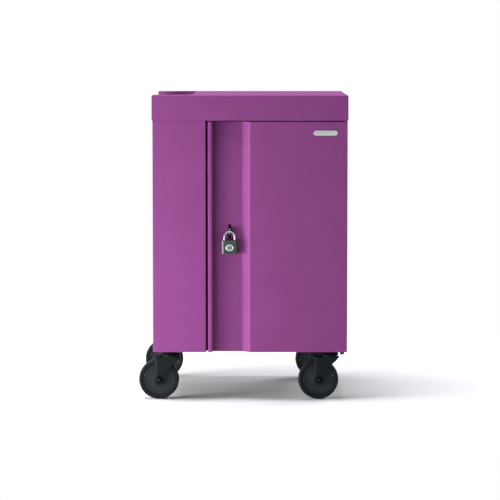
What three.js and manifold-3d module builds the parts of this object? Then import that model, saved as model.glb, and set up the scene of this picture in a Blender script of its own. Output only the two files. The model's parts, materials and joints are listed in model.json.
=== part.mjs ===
// Laptop charging cart: a folded-steel cabinet on four swivel casters, with a front door
// that is closed by a padlock in a grip channel, a hand well with a push bar in its cap,
// two shelves of device slots behind the door and a power bay with its own rear door.
import * as THREE from 'three';
import { mergeVertices } from 'three/addons/utils/BufferGeometryUtils.js';
import ManifoldModule from 'manifold-3d';

const wasm = await ManifoldModule();
wasm.setup();

// Driving dimensions in millimetres: X to the right, Y to the rear, Z up from the floor

// Cabinet
const bodyWidth = 610;
const bodyDepth = 592;
const sheet = 2;
const bend = 1.5;
const seat = 0.3;
const flange = 28;

// Cap and hand well
const capHeight = 78.6;
const capOverhang = 2;
const capEdge = 3;
const capLedge = 9;
const wellWidth = 126;
const wellDrop = 70;
const wellFrontRim = 90;
const wellRearRim = 20;
const handleRadius = 11;
const handleInset = 22;
const handleDrop = 27;
const handleFlangeRadius = 17;
const handleFlange = 4;

// Front door and fixed front column
const columnWidth = 167;
const doorHeight = 724;
const doorSideGap = 6;
const doorTopGap = 3.4;
const doorLip = 14;
const gripWidth = 94;
const gripDepth = 24;
const gripRamp = 24;
const stiffenerWidth = 40;
const stiffenerFlange = 18;
const stiffenerDepth = 20;

// Front door pivots
const pinInset = 15;
const pinRadius = 4;
const pinLength = 22;
const hingeBarWidth = 13.4;
const hingeBarHeight = 5.7;
const hingeTopBarHeight = 3.6;
const hingeBarLength = 64;
const hingeBarNose = 7;
const swingClearance = 1.2;
const pivotClearance = 0.3;

// Lock eye and its slot in the grip channel
const lockHeight = 380;
const lockOffset = 7;
const slotWidth = 9;
const slotHeight = 45;
const eyePlate = 2.5;
const eyeHeight = 24;
const eyeReach = 21;
const eyeHoleRadius = 5;
const eyeFoot = 40;
const eyeFootHeight = 66;

// Padlock
const shackleRod = 3.3;
const shackleSpan = 32.6;
const shackleRise = 26.5;
const shackleLongLeg = 24;
const shackleShortLeg = 10;
const padlockWidth = 50;
const padlockHeight = 43.5;
const padlockDepth = 20;
const padlockBevel = 5;
const padlockEdge = 1;
const padlockStandOff = 13.5;
const plugRadius = 6;
const plugLength = 18;
const keywayWidth = 2;
const keywayHeight = 7;
const keywayDepth = 5;

// Magnetic catch behind the door
const catchWidth = 44;
const catchDepth = 34;
const catchHeight = 40;
const catchRise = 560;

// Device shelves and dividers
const shelfSpacing = 340;
const shelfStemGap = 13;
const dividerCount = 7;
const dividerPlate = 3;
const dividerHeight = 250;
const dividerDepth = 400;
const dividerFrontGap = 18;
const dividerCorner = 24;
const dividerScoop = 70;
const tabLength = 40;
const tabInset = 50;
const tabDrop = 3;

// Partition between device bay and power bay
const partitionFlange = 20;
const leadHoleLength = 60;
const leadHoleWidth = 24;
const leadHoleCount = 4;
const leadHoleMargin = 90;
const leadHoleSetback = 95;

// Power bay
const adapterShelfRise = 320;
const adapterShelfFlange = 20;
const adapterShelfDepth = 420;
const adapterStripGap = 10;
const stripWidth = 40;
const stripDepth = 34;
const stripMargin = 40;
const stripSetback = 26;
const outletCount = 8;
const outletWidth = 24;
const outletHeight = 30;
const outletDepth = 4;
const outletCorner = 6;

// Rear door, its pivots and its cam lock
const rearDoorMargin = 8;
const rearDoorRise = 105;
const rearDoorTopMargin = 44;
const rearDoorDepth = 14;
const rearDoorGap = 2.5;
const rearHingeGap = 4;
const rearPinRadius = 2.5;
const rearPinReach = 7;
const rearTab = 16;
const lockInset = 15;
const lockFlangeRadius = 12;
const lockFlange = 1.5;
const barrelRadius = 9.5;
const lockPlugRadius = 6;
const camReach = 22;
const camWidth = 14;
const camPlate = 2.5;
const camGap = 2;
const ventCount = 5;
const ventPitch = 18;
const ventWidth = 7;
const ventLength = 150;
const rearDoorVentLength = 80;
const ventMargin = 70;

// Power inlet and the lead behind it
const inletRise = 66;
const inletWidth = 50;
const inletHeight = 28;
const inletFlange = 1.5;
const inletCorner = 5;
const inletBodyWidth = 32;
const inletBodyHeight = 24;
const inletBodyDepth = 25;
const inletWall = 3;
const inletBladeWidth = 2;
const inletBladeHeight = 4;
const inletBladeSpread = 7;
const inletBladeRise = 3;
const inletBladeLength = 14;
const leadRadius = 3;
const leadBend = 48;

// Casters
const casterHeight = 157;
const casterSideInset = 52.5;
const casterEdgeInset = 31;
const casterTrail = 36;
const wheelRadius = 63.5;
const treadWidth = 32;
const treadShoulder = 5;
const rimRadius = 48;
const rimWidth = 26;
const rimWall = 5;
const webWidth = 22;
const bossRadius = 20;
const bossWidth = 36;
const axleRadius = 6;
const axleHeadRadius = 11;
const axleHead = 5;
const forkPlate = 3.5;
const forkClearance = 0.8;
const forkEnd = 17;
const crownPlate = 4;
const crownClearance = 4;
const crownFront = 30;
const crownRear = 54;
const crownCorner = 14;
const crownBreak = 22;
const dishRadius = 24;
const dishHeight = 11;
const raceGap = 1.2;
const cupRadius = 28;
const cupSkirt = 6;
const kingpinRadius = 6;
const kingpinHeadRadius = 9;
const kingpinHead = 4;
const stemNutRadius = 10;
const stemNut = 10;

// Steps on round shapes
const wheelSides = 24;
const turnedSides = 16;
const stemSides = 12;
const axleSides = 8;
const rodSides = 12;
const arcSteps = 2;
const slotSteps = 1;
const cordSides = 8;
const leadSteps = 10;
const shackleSides = 10;
const shackleSteps = 22;

// Faces and levels worked out from the driving dimensions
const left = -bodyWidth / 2;
const right = bodyWidth / 2;
const front = -bodyDepth / 2;
const rear = bodyDepth / 2;
const doorDepth = gripDepth + sheet;
const pinX = right - pinInset;
const pinY = front + doorDepth / 2;
const bodyFront = pinY + Math.hypot(pinInset, doorDepth / 2) + swingClearance;
const insideLeft = left + sheet + seat;
const insideRight = right - sheet - seat;
const insideFront = bodyFront + sheet + seat;
const insideRear = rear - sheet - seat;
const baseZ = casterHeight;
const floorTop = baseZ + sheet;
const doorTop = baseZ + doorHeight;
const capBottom = doorTop + doorTopGap;
const capTop = capBottom + capHeight;
const roofTop = capBottom - seat;
const roofUnder = roofTop - sheet;
const columnRight = left + columnWidth;
const doorLeft = columnRight + doorSideGap;
const doorRight = right;
const doorBack = front + doorDepth;
const gripFloor = front + gripDepth;
const gripLeft = doorLeft + doorLip;
const gripRight = gripLeft + gripWidth;
const lockX = gripLeft + gripWidth / 2 + lockOffset;
const lockZ = baseZ + lockHeight;
const lockY = gripFloor - padlockStandOff;
const partitionLeft = columnRight - sheet;

// Finishes
const finish = (color, roughness, metalness) => ({ color, roughness, metalness });
const paint = finish(0x97508e, 0.5, 0);
const blackSteel = finish(0x24272a, 0.45, 0.6);
const zincSteel = finish(0xb9bcc0, 0.35, 0.9);
const casterSteel = finish(0x33373a, 0.45, 0.6);
const tyreRubber = finish(0x34383b, 0.7, 0);
const hubPlastic = finish(0x3b4043, 0.55, 0);
const padlockSteel = finish(0x5c6063, 0.4, 0.8);
const darkPlastic = finish(0x2b2d30, 0.6, 0);
const paleDivider = finish(0xd8d8d4, 0.55, 0);

// Solids: three.js geometry goes in, joined or cut geometry comes out
const mergeStep = 1e-3;

function solid(geometry) {
  const plain = geometry.clone();
  plain.deleteAttribute('normal');
  plain.deleteAttribute('uv');
  const merged = mergeVertices(plain, mergeStep);
  const corners = merged.index.array;
  const faces = [];
  for (let i = 0; i < corners.length; i += 3) {
    const [a, b, c] = [corners[i], corners[i + 1], corners[i + 2]];
    if (a !== b && b !== c && c !== a) faces.push(a, b, c);
  }
  const vertProperties = new Float32Array(merged.attributes.position.array);
  return new wasm.Manifold(new wasm.Mesh({ numProp: 3, vertProperties, triVerts: new Uint32Array(faces) }));
}

function geometryOf(body) {
  const { vertProperties, triVerts } = body.getMesh();
  const geometry = new THREE.BufferGeometry();
  geometry.setAttribute('position', new THREE.BufferAttribute(new Float32Array(vertProperties), 3));
  geometry.setIndex(new THREE.BufferAttribute(new Uint32Array(triVerts), 1));
  return geometry;
}

function join(first, ...others) {
  return geometryOf(others.reduce((body, other) => body.add(solid(other)), solid(first)));
}

function cut(first, ...tools) {
  return geometryOf(tools.reduce((body, tool) => body.subtract(solid(tool)), solid(first)));
}

function common(first, ...others) {
  return geometryOf(others.reduce((body, other) => body.intersect(solid(other)), solid(first)));
}

// Basic forms
function block(x0, x1, y0, y1, z0, z1) {
  const geometry = new THREE.BoxGeometry(x1 - x0, y1 - y0, z1 - z0);
  return geometry.translate((x0 + x1) / 2, (y0 + y1) / 2, (z0 + z1) / 2);
}

function extrude(shape, depth, curveSegments) {
  return new THREE.ExtrudeGeometry(shape, { depth, bevelEnabled: false, curveSegments });
}

// An outline in X and Y, raised from z0 to z1
function prismZ(shape, z0, z1, steps = arcSteps) {
  return extrude(shape, z1 - z0, steps).translate(0, 0, z0);
}

// An outline in X and Z, run from y0 to y1
function prismY(shape, y0, y1, steps = arcSteps) {
  return extrude(shape, y1 - y0, steps).rotateX(Math.PI / 2).translate(0, y1, 0);
}

// An outline in Y and Z, run from x0 to x1
function prismX(shape, x0, x1, steps = arcSteps) {
  return extrude(shape, x1 - x0, steps).rotateX(Math.PI / 2).rotateZ(Math.PI / 2).translate(x0, 0, 0);
}

function rodY(radius, y0, y1, sides = rodSides) {
  return new THREE.CylinderGeometry(radius, radius, y1 - y0, sides).translate(0, (y0 + y1) / 2, 0);
}

function rodZ(radius, z0, z1, sides = rodSides) {
  return rodY(radius, z0, z1, sides).rotateX(Math.PI / 2);
}

function rodX(radius, x0, x1, sides = rodSides) {
  return rodY(radius, -x1, -x0, sides).rotateZ(Math.PI / 2);
}

// A closed profile of radius and height, turned round the Y axis
function turnedY(profile, sides) {
  const points = profile.map(([radius, height]) => new THREE.Vector2(radius, height));
  return new THREE.LatheGeometry(points, sides);
}

function turnedZ(profile, sides) {
  return turnedY(profile, sides).rotateX(Math.PI / 2);
}

function roundedRect(x0, x1, y0, y1, radius) {
  const quarter = Math.PI / 2;
  const shape = new THREE.Shape();
  shape.absarc(x1 - radius, y0 + radius, radius, -quarter, 0);
  shape.absarc(x1 - radius, y1 - radius, radius, 0, quarter);
  shape.absarc(x0 + radius, y1 - radius, radius, quarter, 2 * quarter);
  shape.absarc(x0 + radius, y0 + radius, radius, 2 * quarter, 3 * quarter);
  return shape;
}

// Folded sheet: the outer face follows the corners, and the sheet lies to the left of the walk
const vectors = (corners) => corners.map(([x, y]) => new THREE.Vector2(x, y));

function offsetPath(points, distance) {
  const normals = points.slice(1).map((point, i) => {
    const along = point.clone().sub(points[i]).normalize();
    return new THREE.Vector2(-along.y, along.x);
  });
  return points.map((point, i) => {
    const before = normals[Math.max(i - 1, 0)];
    const after = normals[Math.min(i, normals.length - 1)];
    const miter = before.clone().add(after).normalize();
    return point.clone().addScaledVector(miter, distance / miter.dot(after));
  });
}

function traceRounded(shape, points, radiusAt) {
  points.forEach((point, i) => {
    const isEnd = i === 0 || i === points.length - 1;
    if (isEnd) {
      shape.lineTo(point.x, point.y);
      return;
    }
    const before = point.clone().sub(points[i - 1]).normalize();
    const after = points[i + 1].clone().sub(point).normalize();
    const turn = Math.atan2(before.cross(after), before.dot(after));
    const reach = radiusAt(turn) * Math.tan(Math.abs(turn) / 2);
    const start = point.clone().addScaledVector(before, -reach);
    const end = point.clone().addScaledVector(after, reach);
    shape.lineTo(start.x, start.y);
    shape.quadraticCurveTo(point.x, point.y, end.x, end.y);
  });
}

function foldedSheet(corners) {
  const outer = vectors(corners);
  const inner = offsetPath(outer, sheet).reverse();
  const shape = new THREE.Shape();
  shape.moveTo(outer[0].x, outer[0].y);
  traceRounded(shape, outer, (turn) => (turn > 0 ? bend + sheet : bend));
  traceRounded(shape, inner, (turn) => (turn > 0 ? bend + sheet : bend));
  return shape;
}

// The area between a folded sheet's middle and the line that joins its two ends
function foldedEnd(corners) {
  const middle = offsetPath(vectors(corners), sheet / 2);
  const shape = new THREE.Shape();
  shape.moveTo(middle[0].x, middle[0].y);
  traceRounded(shape, middle, () => bend + sheet / 2);
  return shape;
}

// A tray of folded sheet with rounded corners and its plate at the bottom or at the top
function tray(x0, x1, y0, y1, z0, z1, openTop) {
  const low = openTop ? z0 + sheet : z0 - sheet;
  const high = openTop ? z1 + sheet : z1 - sheet;
  return cut(
    prismZ(roundedRect(x0, x1, y0, y1, bend + sheet), z0, z1),
    prismZ(roundedRect(x0 + sheet, x1 - sheet, y0 + sheet, y1 - sheet, bend), low, high),
  );
}

// The part: one named mesh for each piece
const cart = new THREE.Group();

function piece(group, name, geometry, look) {
  const mesh = new THREE.Mesh(geometryOf(solid(geometry)), new THREE.MeshStandardMaterial(look));
  mesh.name = name;
  group.add(mesh);
}

// Caster places under the base
const casterX = right - casterSideInset;
const casterFrontY = insideFront + casterEdgeInset;
const casterRearY = insideRear - casterEdgeInset;
const casterPlaces = [
  ['front_left', -casterX, casterFrontY],
  ['front_right', casterX, casterFrontY],
  ['rear_left', -casterX, casterRearY],
  ['rear_right', casterX, casterRearY],
];

// Base pan with holes for the caster stems
const stemHole = kingpinRadius + pivotClearance;
piece(cart, 'base_pan', cut(
  tray(insideLeft, insideRight, insideFront, insideRear, baseZ, baseZ + flange, true),
  ...casterPlaces.map(([, x, y]) => rodZ(stemHole, baseZ - sheet, floorTop + sheet).translate(x, y, 0)),
), blackSteel);

// Left panel: side, rounded corner and fixed front column in one folded sheet with closed ends
const columnReturn = bodyFront + sheet;
const leftOutline = [[left, rear], [left, front], [columnRight, front], [columnRight, columnReturn]];
const columnEnd = (z0) => block(
  left + sheet / 2, columnRight - sheet / 2, front + sheet / 2, columnReturn, z0, z0 + sheet,
);
piece(cart, 'left_panel', join(
  prismZ(foldedSheet(leftOutline), baseZ, roofTop),
  columnEnd(baseZ),
  columnEnd(roofUnder),
), paint);

// Right panel with a narrow return behind the door's hinge side
const rightOutline = [[right - flange, bodyFront], [right, bodyFront], [right, rear]];
piece(cart, 'right_panel', prismZ(foldedSheet(rightOutline), baseZ, roofTop), paint);

// Roof panel, a tray with its folded edges down
piece(cart, 'roof_panel', tray(
  insideLeft, insideRight, insideFront, insideRear, roofTop - flange, roofTop, false,
), paint);

// Top cap: a hollow lid with rounded top edges and a hand well that is open to the left
const capLeft = left - capOverhang;
const capRight = right + capOverhang;
const capFront = front - capOverhang;
const capRear = rear + capOverhang;
const wellRight = capLeft + wellWidth;
const wellFront = capFront + wellFrontRim;
const wellRear = capRear - wellRearRim;
const wellFloor = capTop - wellDrop;

function archOutline(low, high) {
  const shape = new THREE.Shape();
  shape.moveTo(low, capBottom);
  shape.lineTo(high, capBottom);
  shape.absarc(high - capEdge, capTop - capEdge, capEdge, 0, Math.PI / 2);
  shape.absarc(low + capEdge, capTop - capEdge, capEdge, Math.PI / 2, Math.PI);
  return shape;
}

const capOuter = common(
  prismY(archOutline(capLeft, capRight), capFront, capRear),
  prismX(archOutline(capFront, capRear), capLeft, capRight),
);
const capHollow = cut(
  join(
    block(capLeft + sheet, capRight - sheet, capFront + sheet, capRear - sheet,
      capBottom + sheet, capTop - sheet),
    block(capLeft + capLedge, capRight - capLedge, capFront + sheet, capRear - capLedge,
      capBottom - sheet, capTop - sheet),
  ),
  block(capLeft - sheet, wellRight + sheet, wellFront - sheet, wellRear + sheet,
    wellFloor - sheet, capTop + sheet),
);
const handWell = block(capLeft - sheet, wellRight, wellFront, wellRear, wellFloor, capTop + sheet);
piece(cart, 'top_cap', cut(capOuter, capHollow, handWell), paint);

// Push bar across the hand well, with a round flange at each end
const barFront = wellFront + seat;
const barRear = wellRear - seat;
piece(cart, 'push_bar', turnedY([
  [0, barFront],
  [handleFlangeRadius, barFront],
  [handleFlangeRadius, barFront + handleFlange],
  [handleRadius, barFront + handleFlange],
  [handleRadius, barRear - handleFlange],
  [handleFlangeRadius, barRear - handleFlange],
  [handleFlangeRadius, barRear],
  [0, barRear],
], turnedSides).translate(capLeft + handleInset, 0, capTop - handleDrop), paint);

// Partition between the device bay and the power bay, with holes for the charging leads
const partitionBottom = floorTop + seat;
const partitionTop = roofUnder - seat;
const partitionFront = insideFront + sheet + seat;
const partitionRear = insideRear - sheet - seat;
const partitionOutline = [
  [columnRight - partitionFlange, partitionBottom],
  [columnRight, partitionBottom],
  [columnRight, partitionTop],
  [columnRight - partitionFlange, partitionTop],
];
const leadHoleY = partitionRear - leadHoleSetback;
const leadHoleStep = (partitionTop - partitionBottom - 2 * leadHoleMargin) / (leadHoleCount - 1);
const leadHoles = Array.from({ length: leadHoleCount }, (unused, i) => {
  const z = partitionBottom + leadHoleMargin + i * leadHoleStep;
  const hole = roundedRect(
    leadHoleY - leadHoleWidth / 2, leadHoleY + leadHoleWidth / 2,
    z - leadHoleLength / 2, z + leadHoleLength / 2, leadHoleWidth / 2,
  );
  return prismX(hole, partitionLeft - sheet, columnRight + sheet);
});
piece(cart, 'partition', cut(
  prismY(foldedSheet(partitionOutline), partitionFront, partitionRear),
  ...leadHoles,
), paint);

// Device shelves with slots for the divider tabs
const bayLeft = columnRight + seat;
const shelfFront = partitionFront;
const shelfRear = casterRearY - stemNutRadius - shelfStemGap;
const lowerShelfZ = floorTop + seat;
const upperShelfZ = lowerShelfZ + shelfSpacing;
const dividerPitch = (insideRight - bayLeft) / (dividerCount + 1);
const dividerFront = shelfFront + dividerFrontGap;
const dividerRear = dividerFront + dividerDepth;
const tabStarts = [dividerFront + tabInset, dividerRear - tabInset - tabLength];
const dividerX = (i) => bayLeft + (i + 1) * dividerPitch;

function shelf(z0, x1) {
  const halfSlot = dividerPlate / 2 + seat;
  const slots = [];
  for (let i = 0; i < dividerCount; i += 1) {
    for (const y of tabStarts) {
      slots.push(block(
        dividerX(i) - halfSlot, dividerX(i) + halfSlot,
        y - seat, y + tabLength + seat, z0 + flange - 2 * sheet, z0 + flange + sheet,
      ));
    }
  }
  return cut(tray(bayLeft, x1, shelfFront, shelfRear, z0, z0 + flange, false), ...slots);
}

piece(cart, 'lower_shelf', shelf(lowerShelfZ, insideRight - sheet - seat), paint);
piece(cart, 'upper_shelf', shelf(upperShelfZ, insideRight), paint);

// Dividers: flat plates with a scooped front edge, two tabs in the shelf's slots
function dividerOutline(z0) {
  const top = z0 + dividerHeight;
  const tabEnd = z0 - seat - sheet - tabDrop;
  const shape = new THREE.Shape();
  shape.moveTo(dividerFront, z0);
  for (const y of tabStarts) {
    shape.lineTo(y, z0);
    shape.lineTo(y, tabEnd);
    shape.lineTo(y + tabLength, tabEnd);
    shape.lineTo(y + tabLength, z0);
  }
  shape.lineTo(dividerRear, z0);
  shape.absarc(dividerRear - dividerCorner, top - dividerCorner, dividerCorner, 0, Math.PI / 2);
  shape.lineTo(dividerFront + dividerScoop, top);
  shape.quadraticCurveTo(dividerFront + dividerScoop, z0 + dividerScoop, dividerFront, z0 + dividerScoop);
  return shape;
}

for (const [level, shelfZ] of [['lower', lowerShelfZ], ['upper', upperShelfZ]]) {
  const outline = dividerOutline(shelfZ + flange + seat);
  for (let i = 0; i < dividerCount; i += 1) {
    const x = dividerX(i) - dividerPlate / 2;
    piece(cart, `divider_${level}_${i + 1}`, prismX(outline, x, x + dividerPlate), paleDivider);
  }
}

const bayRight = partitionLeft - seat;

// Rear door opening in the power bay's rear
const rearPinX = insideLeft + rearDoorMargin + rearHingeGap + rearDoorDepth / 2;
const rearDoorLeft = rearPinX - rearDoorDepth / 2;
const rearDoorRight = bayRight - rearDoorMargin - rearDoorGap;
const rearDoorBottom = baseZ + rearDoorRise;
const rearDoorTop = roofTop - rearDoorTopMargin;
const rearDoorInner = rear - rearDoorDepth;
const rearPinY = rear - rearDoorDepth / 2;
const openLeft = rearDoorLeft - rearHingeGap;
const openRight = rearDoorRight + rearDoorGap;
const openBottom = rearDoorBottom - rearDoorGap;
const openTop = rearDoorTop + rearDoorGap;

// A column of level vents, cut through a rear face
function vents(centreX, firstZ, length) {
  return Array.from({ length: ventCount }, (unused, i) => {
    const z = firstZ + i * ventPitch;
    const slot = roundedRect(
      centreX - length / 2, centreX + length / 2, z - ventWidth / 2, z + ventWidth / 2, ventWidth / 2,
    );
    return prismY(slot, rear - 2 * sheet, rear + sheet, slotSteps);
  });
}

// Rear panel with the door opening, its jamb, pivot tabs and vents for the device bay
const inletX = (openLeft + openRight) / 2;
const inletZ = baseZ + inletRise;
const ventRun = (ventCount - 1) * ventPitch;
const bayMiddle = (bayLeft + insideRight) / 2;

function pivotTab(z0, pinLow, pinHigh) {
  return join(
    block(rearPinX - rearTab / 2, rearPinX + rearTab / 2, rear - rearTab, rear - sheet / 2, z0, z0 + sheet),
    rodZ(rearPinRadius, pinLow, pinHigh).translate(rearPinX, rearPinY, 0),
  );
}

const inletHole = block(
  inletX - inletBodyWidth / 2 - seat, inletX + inletBodyWidth / 2 + seat, rear - 2 * sheet, rear + sheet,
  inletZ - inletBodyHeight / 2 - seat, inletZ + inletBodyHeight / 2 + seat,
);
piece(cart, 'rear_panel', join(
  cut(
    block(insideLeft, insideRight, rear - sheet, rear, baseZ, roofTop),
    block(openLeft, openRight, rear - 2 * sheet, rear + sheet, openBottom, openTop),
    inletHole,
    ...vents(bayMiddle, baseZ + ventMargin, ventLength),
    ...vents(bayMiddle, roofTop - ventMargin - ventRun, ventLength),
  ),
  block(openRight, openRight + sheet, rearDoorInner, rear - sheet / 2, openBottom, openTop),
  pivotTab(openTop, rearDoorTop - sheet - rearPinReach, openTop + sheet / 2),
  pivotTab(openBottom - sheet, openBottom - sheet / 2, rearDoorBottom + sheet + rearPinReach),
), paint);

// Rear door: a shallow pan with vents, a lock hole and pivot holes
const lockPlaceX = rearDoorRight - lockInset;
const lockPlaceZ = (rearDoorBottom + rearDoorTop) / 2;
const rearDoorMiddle = (rearDoorLeft + rearDoorRight) / 2;
const rearPivotHole = rodZ(rearPinRadius + pivotClearance, rearDoorBottom - sheet, rearDoorTop + sheet);
piece(cart, 'rear_door', cut(
  block(rearDoorLeft, rearDoorRight, rearDoorInner, rear, rearDoorBottom, rearDoorTop),
  block(rearDoorLeft + sheet, rearDoorRight - sheet, rearDoorInner - sheet, rear - sheet,
    rearDoorBottom + sheet, rearDoorTop - sheet),
  rearPivotHole.translate(rearPinX, rearPinY, 0),
  rodY(barrelRadius + seat, rear - 2 * sheet, rear + sheet, turnedSides)
    .translate(lockPlaceX, 0, lockPlaceZ),
  ...vents(rearDoorMiddle, rearDoorBottom + ventMargin, rearDoorVentLength),
  ...vents(rearDoorMiddle, rearDoorTop - ventMargin - ventRun, rearDoorVentLength),
), paint);

// Cam lock: a flanged barrel in the rear door, and a plug that turns the cam behind the jamb
const lockFace = rear + seat + lockFlange;
const camTop = rearDoorInner - camGap;
const barrelEnd = camTop + seat;
const rearLock = new THREE.Group();
rearLock.position.set(lockPlaceX, 0, lockPlaceZ);
cart.add(rearLock);
piece(rearLock, 'rear_lock_barrel', turnedY([
  [lockPlugRadius + pivotClearance, barrelEnd],
  [barrelRadius, barrelEnd],
  [barrelRadius, rear + seat],
  [lockFlangeRadius, rear + seat],
  [lockFlangeRadius, lockFace],
  [lockPlugRadius + pivotClearance, lockFace],
  [lockPlugRadius + pivotClearance, barrelEnd],
], turnedSides), zincSteel);

const camOutline = roundedRect(-camWidth / 2, camWidth / 2, -camReach, camWidth / 2, camWidth / 2 - seat);
const keyway = (y0, y1) => block(
  -keywayWidth / 2, keywayWidth / 2, y0, y1, -keywayHeight / 2, keywayHeight / 2,
);
piece(rearLock, 'rear_lock_cam', cut(
  join(
    rodY(lockPlugRadius, camTop - sheet, lockFace, turnedSides),
    prismY(camOutline, camTop - camPlate, camTop),
  ),
  keyway(lockFace - keywayDepth, lockFace + sheet),
), zincSteel);

// Power strip on the partition, with a row of outlet recesses
const stripLeft = bayRight - stripWidth;
const stripRear = rearDoorInner - stripSetback;
const stripBottom = rearDoorBottom + stripMargin;
const stripTop = rearDoorTop - stripMargin;
const outletPitch = (stripTop - stripBottom) / outletCount;
const stripMiddle = stripRear - stripDepth / 2;
const outlets = Array.from({ length: outletCount }, (unused, i) => {
  const z = stripBottom + (i + 0.5) * outletPitch;
  const recess = roundedRect(
    stripMiddle - outletWidth / 2, stripMiddle + outletWidth / 2,
    z - outletHeight / 2, z + outletHeight / 2, outletCorner,
  );
  return prismX(recess, stripLeft - outletDepth, stripLeft + outletDepth, slotSteps);
});
piece(cart, 'power_strip', cut(
  block(stripLeft, bayRight, stripRear - stripDepth, stripRear, stripBottom, stripTop),
  ...outlets,
), darkPlastic);

// Adapter shelf across the power bay, in front of the power strip
const adapterZ = baseZ + adapterShelfRise;
const adapterRear = stripRear - stripDepth - adapterStripGap;
piece(cart, 'adapter_shelf', tray(
  insideLeft, bayRight, adapterRear - adapterShelfDepth, adapterRear,
  adapterZ, adapterZ + adapterShelfFlange, true,
), paint);

// Power inlet in the rear panel: a flanged socket with three blades
const inletBack = rear - sheet - inletBodyDepth;
const inletFace = rear + seat + inletFlange;
const inletPlate = roundedRect(
  -inletWidth / 2, inletWidth / 2, -inletHeight / 2, inletHeight / 2, inletCorner,
);
const blades = [[-inletBladeSpread, 0], [0, inletBladeRise], [inletBladeSpread, 0]];
const powerInlet = new THREE.Group();
powerInlet.position.set(inletX, 0, inletZ);
cart.add(powerInlet);
piece(powerInlet, 'power_inlet', join(
  cut(
    join(
      prismY(inletPlate, rear + seat, inletFace),
      block(-inletBodyWidth / 2, inletBodyWidth / 2, inletBack, inletFace - inletFlange / 2,
        -inletBodyHeight / 2, inletBodyHeight / 2),
    ),
    block(-inletBodyWidth / 2 + inletWall, inletBodyWidth / 2 - inletWall, inletBack + inletWall,
      inletFace + sheet, -inletBodyHeight / 2 + inletWall, inletBodyHeight / 2 - inletWall),
  ),
  ...blades.map(([x, z]) => block(
    x - inletBladeWidth / 2, x + inletBladeWidth / 2, inletBack + inletWall / 2,
    inletBack + inletWall + inletBladeLength, z - inletBladeHeight / 2, z + inletBladeHeight / 2,
  )),
), darkPlastic);

// Lead from the back of the inlet up to the foot of the power strip
const leadStart = new THREE.Vector3(inletX, inletBack - seat, inletZ);
const leadEnd = new THREE.Vector3(bayRight - stripWidth / 2, stripMiddle, stripBottom - seat);
const leadPath = new THREE.CubicBezierCurve3(
  leadStart,
  leadStart.clone().add(new THREE.Vector3(0, -leadBend, 0)),
  leadEnd.clone().add(new THREE.Vector3(0, 0, -leadBend)),
  leadEnd,
);
const leadSection = new THREE.Shape().absarc(0, 0, leadRadius, 0, 2 * Math.PI);
piece(cart, 'inlet_lead', new THREE.ExtrudeGeometry(leadSection, {
  steps: leadSteps, extrudePath: leadPath, curveSegments: cordSides / 2,
}), darkPlastic);

// Front door: one folded sheet with a grip channel, closed at the top and bottom
const doorOutline = [
  [doorLeft, doorBack],
  [doorLeft, front],
  [gripLeft, front],
  [gripLeft, gripFloor],
  [gripRight, gripFloor],
  [gripRight + gripRamp, front],
  [doorRight, front],
  [doorRight, doorBack],
];
const lockSlot = roundedRect(
  lockX - slotWidth / 2, lockX + slotWidth / 2,
  lockZ - slotHeight / 2, lockZ + slotHeight / 2, slotWidth / 2,
);
const doorPivotHole = rodZ(pinRadius + pivotClearance, baseZ - sheet, doorTop + sheet, turnedSides);
piece(cart, 'front_door', cut(
  join(
    prismZ(foldedSheet(doorOutline), baseZ, doorTop),
    prismZ(foldedEnd(doorOutline), baseZ, baseZ + sheet),
    prismZ(foldedEnd(doorOutline), doorTop - sheet, doorTop),
  ),
  prismY(lockSlot, gripFloor - sheet, doorBack + sheet),
  doorPivotHole.translate(pinX, pinY, 0),
), paint);

// Door stiffener: a hat channel up the inside of the wide panel
const hatFace = front + sheet + seat;
const hatMiddle = (gripRight + gripRamp + doorRight) / 2;
const hatSide = stiffenerWidth / 2;
const hatOutline = [
  [hatMiddle - hatSide - stiffenerFlange, hatFace],
  [hatMiddle - hatSide, hatFace],
  [hatMiddle - hatSide, hatFace + stiffenerDepth],
  [hatMiddle + hatSide, hatFace + stiffenerDepth],
  [hatMiddle + hatSide, hatFace],
  [hatMiddle + hatSide + stiffenerFlange, hatFace],
];
piece(cart, 'door_stiffener', prismZ(
  foldedSheet(hatOutline), baseZ + sheet + seat, doorTop - sheet - seat,
), paint);

// Pivot brackets: a flat bar under the base and one over the roof, each with its pin
const barBack = pinY - hingeBarNose + hingeBarLength;
const hingeBar = (z0, z1) => prismZ(roundedRect(
  pinX - hingeBarWidth / 2, pinX + hingeBarWidth / 2, pinY - hingeBarNose, barBack, bend,
), z0, z1);
const hingePin = (z0, z1) => rodZ(pinRadius, z0, z1).translate(pinX, pinY, 0);
const lowBar = baseZ - seat - hingeBarHeight;
piece(cart, 'hinge_bracket_bottom', join(
  hingeBar(lowBar, baseZ - seat),
  hingePin(lowBar + sheet, baseZ + pinLength),
), blackSteel);
const topBar = roofTop + seat;
piece(cart, 'hinge_bracket_top', join(
  hingeBar(topBar, topBar + hingeTopBarHeight),
  hingePin(doorTop - pinLength, topBar + sheet),
), blackSteel);

// Magnetic catch on the partition, behind the grip channel
const catchZ = baseZ + catchRise;
piece(cart, 'door_catch', block(
  bayLeft, bayLeft + catchWidth, doorBack + seat, doorBack + seat + catchDepth, catchZ, catchZ + catchHeight,
), darkPlastic);

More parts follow.
